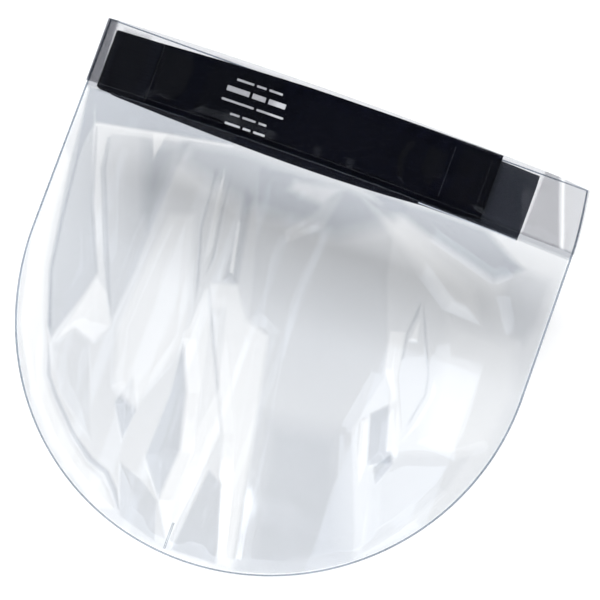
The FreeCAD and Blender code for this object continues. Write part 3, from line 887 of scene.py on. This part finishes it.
def add_hook(points, faces, foot, lean):
    """One hook: a short bent stalk of square section whose tip curls over."""
    half = 0.11 * MM
    path = [(0, 0), (0.0, 0.35), (0.12, 0.6), (0.34, 0.68), (0.5, 0.52)]
    start = len(points)
    for number, (side, out) in enumerate(path):
        middle = foot + Vector((side * lean, -out, 0)) * MM
        ahead = path[min(number + 1, len(path) - 1)]
        behind = path[max(number - 1, 0)]
        along = Vector(((ahead[0] - behind[0]) * lean, -(ahead[1] - behind[1]), 0)).normalized()
        across = Vector((-along.y, along.x, 0)) * half
        for first, second in ((-1, -1), (1, -1), (1, 1), (-1, 1)):
            points.append(middle + across * first + Vector((0, 0, half * second)))
    for ring in range(len(path) - 1):
        for corner in range(4):
            here = start + ring * 4 + corner
            there = start + ring * 4 + (corner + 1) % 4
            faces.append((here, there, there + 4, here + 4))
    faces.append((start + 3, start + 2, start + 1, start))
    last = start + (len(path) - 1) * 4
    faces.append((last, last + 1, last + 2, last + 3))


# ---- the print ----
PRINT_MIDDLE, PRINT_GAP = -43 * MM, 1.6 * MM
# Each row's top, how tall it is, and the lengths of its dashes, in millimetres.
PRINT_ROWS = (
    (7.6, 1.1, (9, 5, 7)),
    (3.0, 2.6, (12, 7, 9)),
    (-3.6, 1.1, (17, 14)),
    (-9.6, 1.1, (5, 7, 4)),
    (-14.6, 1.1, (8, 4, 6)),
)


def make_print():
    """Plain small print in place of the maker's words: centred rows of blank dashes, one row bolder."""
    points, faces, slots = [], [], []
    for top, tall, dashes in PRINT_ROWS:
        lengths = [dash * MM for dash in dashes]
        left = PRINT_MIDDLE - (sum(lengths) + PRINT_GAP * (len(lengths) - 1)) / 2
        for length in lengths:
            mark = bar(left, left + length, (top - tall) * MM, top * MM, 0.03 * MM, 0.1 * MM)
            join(points, faces, slots, *mark, 0)
            left += length + PRINT_GAP
    new_piece("print_mark", points, faces, "shield", [INK], slots, shade_smooth=False)


def finish_carried_nodes():
    """Materials for the CAD pieces that are shown as they are."""
    for node, material in (("pad_tape", TAPE), ("tab_stitches", THREAD), ("hook_stitches", THREAD)):
        mesh = frame["nodes"][node].data
        mesh.materials.clear()
        mesh.materials.append(material)


# ---- the studio ----
def make_stage():
    """A pale floor that runs up into a backdrop close behind the shield; the backdrop is one-sided."""
    floor, wall = VISOR_LOW.z - 90 * MM, 300 * MM
    front, top, half_width = -3.5, 2.2, 3.0
    radius, steps = 60 * MM, 8
    profile = [(front, floor), (wall - radius, floor)]
    for number in range(1, steps + 1):
        angle = math.pi / 2 * number / steps
        profile.append((wall - radius + radius * math.sin(angle), floor + radius - radius * math.cos(angle)))
    profile.append((wall, top))
    points = [Vector((side * half_width, y, z)) for y, z in profile for side in (-1, 1)]
    faces = [(2 * n, 2 * n + 1, 2 * n + 3, 2 * n + 2) for n in range(len(profile) - 1)]
    mesh = bpy.data.meshes.new("backdrop")
    mesh.from_pydata(points, [], faces)
    mesh.polygons.foreach_set("use_smooth", [True] * len(faces))
    material, nodes, links, output = new_material("backdrop_paper")
    paper = nodes.new("ShaderNodeBsdfDiffuse")
    paper.inputs["Color"].default_value = (0.9, 0.9, 0.9, 1)
    gone = nodes.new("ShaderNodeBsdfTransparent")
    side = nodes.new("ShaderNodeNewGeometry")
    mix = nodes.new("ShaderNodeMixShader")
    links.new(side.outputs["Backfacing"], mix.inputs["Fac"])
    links.new(paper.outputs[0], mix.inputs[1])
    links.new(gone.outputs[0], mix.inputs[2])
    links.new(mix.outputs[0], output.inputs["Surface"])
    mesh.materials.append(material)
    backdrop = bpy.data.objects.new("backdrop", mesh)
    bpy.context.scene.collection.objects.link(backdrop)


def area_light(name, place, target, width, height, power, mirrored):
    """A soft box that is either seen only in reflections or lights the scene and leaves no reflection."""
    data = bpy.data.lights.new(name, "AREA")
    data.shape = "RECTANGLE"
    data.size, data.size_y = width, height
    data.energy = power
    lamp = bpy.data.objects.new(name, data)
    lamp.location = place
    lamp.rotation_euler = (Vector(target) - Vector(place)).to_track_quat("-Z", "Y").to_euler()
    lamp.visible_camera = False
    lamp.visible_glossy = mirrored
    lamp.visible_diffuse = not mirrored
    bpy.context.scene.collection.objects.link(lamp)


def make_world():
    """An even pale surround: bright to look at, softer as a light and dark in reflections."""
    world = bpy.data.worlds.new("studio")
    world.use_nodes = True
    nodes, links = world.node_tree.nodes, world.node_tree.links
    background = nodes["Background"]
    background.inputs["Color"].default_value = (0.97, 0.98, 1.0, 1)
    ray = nodes.new("ShaderNodeLightPath")
    strength = nodes.new("ShaderNodeMix")
    strength.inputs["A"].default_value = 0.45
    strength.inputs["B"].default_value = 0.95
    dark = nodes.new("ShaderNodeMix")
    dark.inputs["B"].default_value = 0.02
    links.new(ray.outputs["Is Camera Ray"], strength.inputs["Factor"])
    links.new(ray.outputs["Is Glossy Ray"], dark.inputs["Factor"])
    links.new(strength.outputs["Result"], dark.inputs["A"])
    links.new(dark.outputs["Result"], background.inputs["Strength"])
    bpy.context.scene.world = world


# Each strip's azimuth in degrees, width, radiance and top: narrow ones on the left, one wide one on the right.
STRIPS = (
    (-62, 0.1, 0.5, 0.02),
    (-46, 0.1, 0.6, 0.02),
    (-34, 0.16, 0.5, 0.02),
    (-22, 0.08, 0.9, 0.02),
    (-7, 0.05, 0.7, 0.02),
    (3, 0.06, 0.7, 0.02),
    (46, 0.9, 1.2, -0.05),
)
STRIP_DISTANCE, STRIP_BOTTOM = 1.7, -0.9


def make_lights():
    """One key that casts the shadow, a soft top light and tall strips that the film's creases mirror."""
    middle = Vector((0, 0, -90 * MM))
    area_light("key", (-0.05, -2.1, 0.3), middle, 0.5, 0.36, 42, mirrored=False)
    area_light("top", (0, -0.5, 1.8), middle, 2.0, 0.8, 7, mirrored=False)
    for number, (azimuth, width, radiance, top) in enumerate(STRIPS):
        angle = math.radians(azimuth)
        place = Vector((math.sin(angle), -math.cos(angle), 0)) * STRIP_DISTANCE
        place.z = (top + STRIP_BOTTOM) / 2
        power = radiance * math.pi * width * (top - STRIP_BOTTOM)
        facing = Vector((0, 0, place.z))
        area_light(f"strip_{number}", place, facing, width, top - STRIP_BOTTOM, power, mirrored=True)


def make_camera():
    """A long lens almost square to the visor, rolled as the object lies in its picture."""
    target = Vector((9.75, 20, -84.5)) * MM
    distance, frame_width = 2.2, 0.3
    azimuth, elevation, roll = math.radians(3.8), math.radians(-1.5), math.radians(20)
    away = Vector(
        (math.sin(azimuth) * math.cos(elevation), -math.cos(azimuth) * math.cos(elevation), math.sin(elevation))
    )
    data = bpy.data.cameras.new("camera")
    data.sensor_width = 36
    data.lens = data.sensor_width * distance / frame_width
    data.clip_end = 50
    camera = bpy.data.objects.new("camera", data)
    turned = (-away).to_track_quat("-Z", "Y").to_matrix().to_4x4() @ Matrix.Rotation(roll, 4, "Z")
    camera.matrix_world = Matrix.Translation(target + away * distance) @ turned
    bpy.context.scene.collection.objects.link(camera)
    bpy.context.scene.camera = camera


make_camera()
make_lights()
make_world()
make_stage()
make_visor()
make_film()
make_cover()
make_pad()
make_strap()
make_loop_tab()
make_hooks()
make_print()
finish_carried_nodes()
bpy.context.scene.view_settings.view_transform = "Standard"
